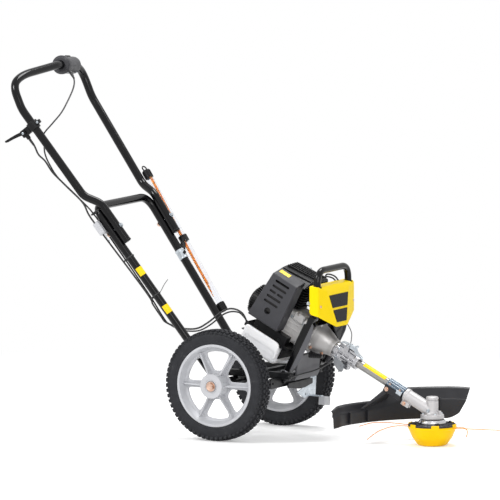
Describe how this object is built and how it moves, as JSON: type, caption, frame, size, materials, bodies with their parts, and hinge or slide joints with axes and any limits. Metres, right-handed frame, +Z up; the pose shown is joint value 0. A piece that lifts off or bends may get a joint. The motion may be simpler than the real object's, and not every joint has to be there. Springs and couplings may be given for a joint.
{
  "type": "wheeled string trimmer",
  "caption": "Wheeled petrol string trimmer with a sloping handle, shielded engine, drive tube, debris guard and line head.",
  "frame": {"origin": "centre of the machine's bounding box on the ground", "axes": "+X forward from the handle to the trimmer head, +Y to the machine's left, +Z up"},
  "size_m": [1.613, 0.5316, 1.1212],
  "materials": {
    "gloss_black_steel": "gloss",
    "satin_black_steel": "satin",
    "yellow_paint": "gloss",
    "zinc_steel": "zinc plated",
    "bright_steel": "satin",
    "copper_toned_bolt": "copper toned plating",
    "cast_aluminium": "as cast",
    "brushed_aluminium": "satin",
    "black_cast_aluminium": "black coated casting",
    "black_plastic": "satin",
    "dark_grey_plastic": "satin",
    "grey_plastic": "satin",
    "white_plastic": "milky translucent",
    "yellow_plastic": "gloss",
    "clear_plastic": "clear",
    "orange_line": "satin nylon",
    "cable_rubber": "matt",
    "tyre_rubber": "matt"
  },
  "bodies": {
    "machine": {"air_filter_cover": "dark_grey_plastic", "axle": "bright_steel", "cable_clip": "grey_plastic", "carburettor": "cast_aluminium", "clutch_bell": "cast_aluminium", "control_housing_bottom": "dark_grey_plastic", "control_housing_top": "dark_grey_plastic", "coupling_body": "cast_aluminium", "crankcase": "cast_aluminium", "cylinder": "black_cast_aluminium", "drive_tube": "brushed_aluminium", "engine_bed": "satin_black_steel", "engine_hoop": "gloss_black_steel", "engine_plate": "satin_black_steel", "front_shield": "yellow_paint", "fuel_tank": "white_plastic", "gear_head": "cast_aluminium", "guard": "black_plastic", "guard_clamp": "zinc_steel", "left_axle_bolt": "copper_toned_bolt", "left_handle_bolt": "zinc_steel", "lower_frame": "gloss_black_steel", "muffler": "bright_steel", "muffler_cover": "dark_grey_plastic", "recoil_housing": "black_plastic", "right_axle_bolt": "copper_toned_bolt", "right_handle_bolt": "zinc_steel", "scraper_block": "grey_plastic", "scraper_bracket": "zinc_steel", "spare_line": "orange_line", "spare_line_tube": "clear_plastic", "spark_plug_cap": "cable_rubber", "starter_handle": "black_plastic", "stop_cable": "cable_rubber", "tank_bracket": "black_plastic", "throttle_bracket": "black_plastic", "throttle_cable": "cable_rubber", "top_cover": "black_plastic", "tube_bottom_cap": "black_plastic", "tube_clip": "black_plastic", "tube_strap": "zinc_steel", "undershield": "dark_grey_plastic", "upper_handle": "gloss_black_steel"},
    "right_wheel": {"right_tyre": "tyre_rubber", "right_rim": "grey_plastic"},
    "left_wheel": {"left_tyre": "tyre_rubber", "left_rim": "grey_plastic"},
    "cutting_head": {"head_collar": "bright_steel", "head_disc": "black_plastic", "head_bowl": "yellow_plastic", "trimmer_line": "orange_line"},
    "drive_shaft": {"drive_shaft": "bright_steel"},
    "throttle_lever": {"throttle_lever": "black_plastic"},
    "stop_switch": {"stop_switch": "black_plastic"},
    "choke_lever": {"choke_lever": "black_plastic"},
    "fuel_cap": {"fuel_cap": "black_plastic"},
    "coupling_lever": {"coupling_lever": "zinc_steel"},
    "coupling_latch": {"coupling_latch": "zinc_steel"},
    "tube_top_cap": {"tube_top_cap": "black_plastic"},
    "primer_bulb": {"primer_bulb": "clear_plastic"}
  },
  "joints": [
    {"name": "right_wheel_spin", "type": "hinge", "parent": "machine", "child": "right_wheel", "pos_m": [-0.07872, -0.21, 0.17], "axis": [0, 1, 0], "continuous": true},
    {"name": "left_wheel_spin", "type": "hinge", "parent": "machine", "child": "left_wheel", "pos_m": [-0.07872, 0.21, 0.17], "axis": [0, 1, 0], "continuous": true},
    {"name": "head_spin", "type": "hinge", "parent": "machine", "child": "cutting_head", "pos_m": [0.54228, 0, 0.07], "axis": [0, 0, 1], "continuous": true},
    {"name": "drive_shaft_spin", "type": "hinge", "parent": "machine", "child": "drive_shaft", "pos_m": [0.29888, 0, 0.2298], "axis": [0.887, 0, -0.4618], "continuous": true},
    {"name": "throttle_turn", "type": "hinge", "parent": "machine", "child": "throttle_lever", "pos_m": [-0.74256, -0.22377, 0.90542], "axis": [-0.0601, 0.9951, 0.0791], "range_deg": [-50, 10]},
    {"name": "stop_switch_slide", "type": "slide", "parent": "machine", "child": "stop_switch", "axis": [-0.1764, 0.979, -0.1025], "range_m": [0, 0.006]},
    {"name": "choke_turn", "type": "hinge", "parent": "machine", "child": "choke_lever", "pos_m": [0.11422, 0.0935, 0.40935], "axis": [0.887, 0, -0.4618], "range_deg": [0, 60]},
    {"name": "fuel_cap_turn", "type": "hinge", "parent": "machine", "child": "fuel_cap", "pos_m": [-0.0097, 0.0703, 0.28672], "axis": [0, 1, 0], "range_deg": [0, 360]},
    {"name": "coupling_lever_turn", "type": "hinge", "parent": "machine", "child": "coupling_lever", "pos_m": [0.24604, 0, 0.22574], "axis": [0, 1, 0], "range_deg": [-50, 0]},
    {"name": "coupling_latch_turn", "type": "hinge", "parent": "machine", "child": "coupling_latch", "pos_m": [0.26067, 0, 0.28633], "axis": [0, 1, 0], "range_deg": [-60, 0], "stiffness_Nm_per_rad": 0.02, "springref_deg": 11.46},
    {"name": "tube_cap_slide", "type": "slide", "parent": "machine", "child": "tube_top_cap", "axis": [-0.5901, 0.1075, 0.8001], "range_m": [0, 0.026]},
    {"name": "primer_press", "type": "slide", "parent": "machine", "child": "primer_bulb", "axis": [0.4618, 0, 0.887], "range_m": [0, 0.004], "stiffness_N_per_m": 400, "springref_m": -0.002}
  ],
  "couplings": [
    {"joint": "drive_shaft_spin", "follows": "head_spin", "ratio": -1.4}
  ]
}
